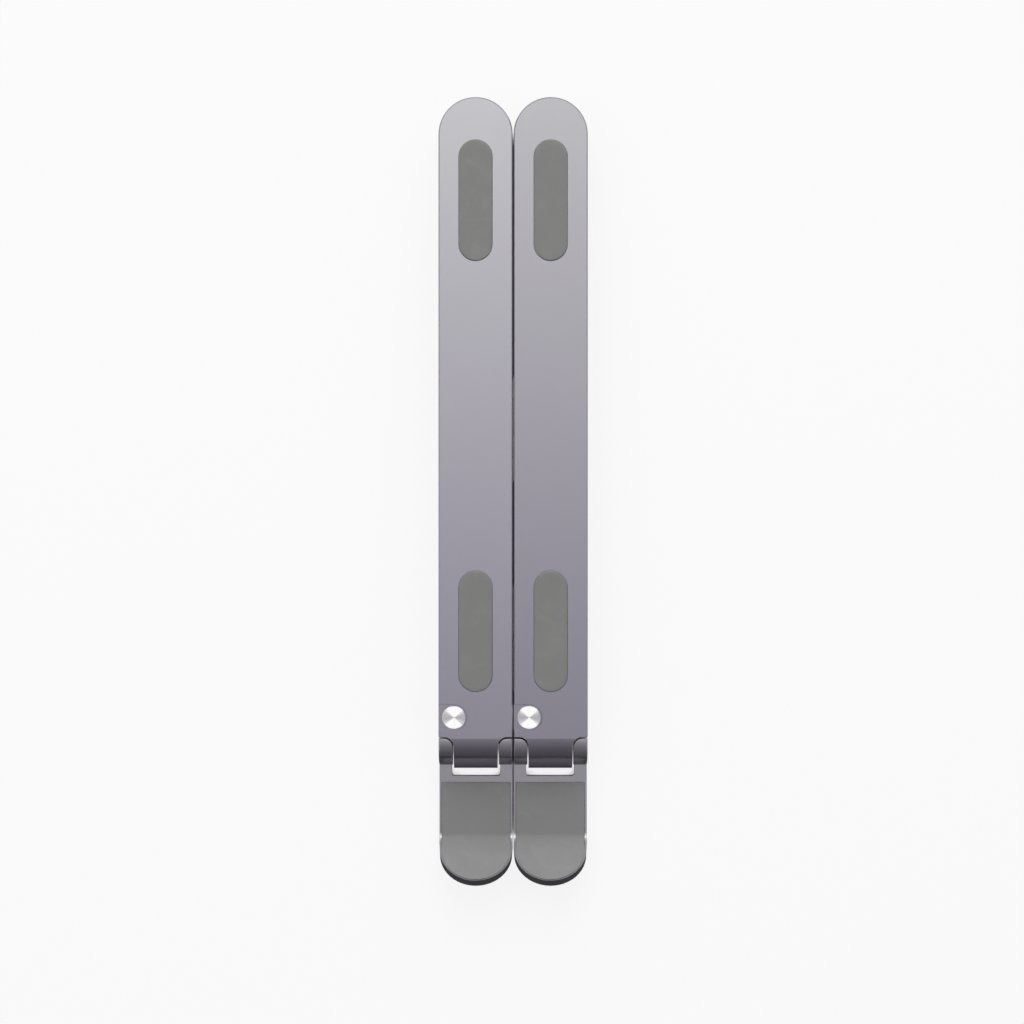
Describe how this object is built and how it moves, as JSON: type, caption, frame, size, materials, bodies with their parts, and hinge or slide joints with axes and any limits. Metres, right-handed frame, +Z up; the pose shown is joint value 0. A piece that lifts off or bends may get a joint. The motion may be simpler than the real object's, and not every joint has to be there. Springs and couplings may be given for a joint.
{
  "type": "foldable laptop stand",
  "caption": "Folding laptop stand of two hinged rail-and-base halves with bent-up front hooks, joined by crossed bars, with a prop leg under each rail.",
  "frame": {"origin": "centre of the folded stand's outline, on the surface that its feet rest on", "axes": "+X to the right across the two halves, +Y from the front hooks to the round far ends of the rails, +Z up"},
  "size_m": [0.0454, 0.2408, 0.0154],
  "materials": {
    "rail_metal": "bead-blasted and anodised space grey",
    "base_metal": "bead-blasted and anodised space grey",
    "bar_metal": "brushed along its length and anodised",
    "leg_metal": "bead-blasted and anodised space grey",
    "pad_silicone": "matt mid-grey silicone",
    "foot_rubber": "matt dark rubber",
    "rivet_steel": "bright, turned end faces",
    "pin_steel": "plain ground steel"
  },
  "bodies": {
    "left_lower": {"left_base": "base_metal", "left_hook_pad": "pad_silicone", "left_front_foot": "foot_rubber", "left_rear_foot": "foot_rubber", "left_hinge_pin": "pin_steel"},
    "left_upper": {"left_rail": "rail_metal", "left_rail_front_pad": "pad_silicone", "left_rail_rear_pad": "pad_silicone", "left_pivot_rivet": "rivet_steel", "left_pivot_spacer": "pin_steel", "left_leg_pin": "pin_steel"},
    "left_prop": {"left_leg": "leg_metal"},
    "upper_bar": {"upper_cross_bar": "bar_metal", "upper_slide_pin": "pin_steel", "cross_rivet": "pin_steel", "cross_washer": "pin_steel"},
    "lower_bar": {"lower_cross_bar": "bar_metal", "lower_slide_pin": "pin_steel"},
    "right_upper": {"right_rail": "rail_metal", "right_rail_front_pad": "pad_silicone", "right_rail_rear_pad": "pad_silicone", "right_pivot_rivet": "rivet_steel", "right_pivot_spacer": "pin_steel", "right_leg_pin": "pin_steel"},
    "right_lower": {"right_base": "base_metal", "right_hook_pad": "pad_silicone", "right_front_foot": "foot_rubber", "right_rear_foot": "foot_rubber", "right_hinge_pin": "pin_steel"},
    "right_prop": {"right_leg": "leg_metal"}
  },
  "joints": [
    {"name": "left_tilt", "type": "hinge", "parent": "left_lower", "child": "left_upper", "pos_m": [-0.01145, -0.07596, 0.00605], "axis": [1, 0, 0], "range_deg": [0, 30]},
    {"name": "left_leg_swing", "type": "hinge", "parent": "left_upper", "child": "left_prop", "pos_m": [-0.00585, 0.02904, 0.0052], "axis": [-1, 0, 0], "range_deg": [0, 66.6]},
    {"name": "spread", "type": "hinge", "parent": "left_upper", "child": "upper_bar", "pos_m": [-0.018, -0.06862, 0.01], "axis": [0, 0, -1], "range_deg": [0, 63.41]},
    {"name": "bars_cross", "type": "hinge", "parent": "upper_bar", "child": "lower_bar", "pos_m": [-0.00655, -0.01278, 0.0085], "axis": [0, 0, 1], "range_deg": [0, 126.82]},
    {"name": "right_rail_pivot", "type": "hinge", "parent": "lower_bar", "child": "right_upper", "pos_m": [0.0049, -0.06862, 0.008], "axis": [0, 0, -1], "range_deg": [0, 63.41]},
    {"name": "right_tilt", "type": "hinge", "parent": "right_upper", "child": "right_lower", "pos_m": [0.01145, -0.07596, 0.00605], "axis": [-1, 0, 0], "range_deg": [0, 30]},
    {"name": "right_leg_swing", "type": "hinge", "parent": "right_upper", "child": "right_prop", "pos_m": [0.01705, 0.02904, 0.0052], "axis": [-1, 0, 0], "range_deg": [0, 66.6]}
  ],
  "couplings": [
    {"joint": "bars_cross", "follows": "spread", "ratio": 2},
    {"joint": "right_rail_pivot", "follows": "spread", "ratio": 1},
    {"joint": "left_leg_swing", "follows": "left_tilt", "ratio": 2.22},
    {"joint": "right_leg_swing", "follows": "right_tilt", "ratio": 2.22}
  ]
}
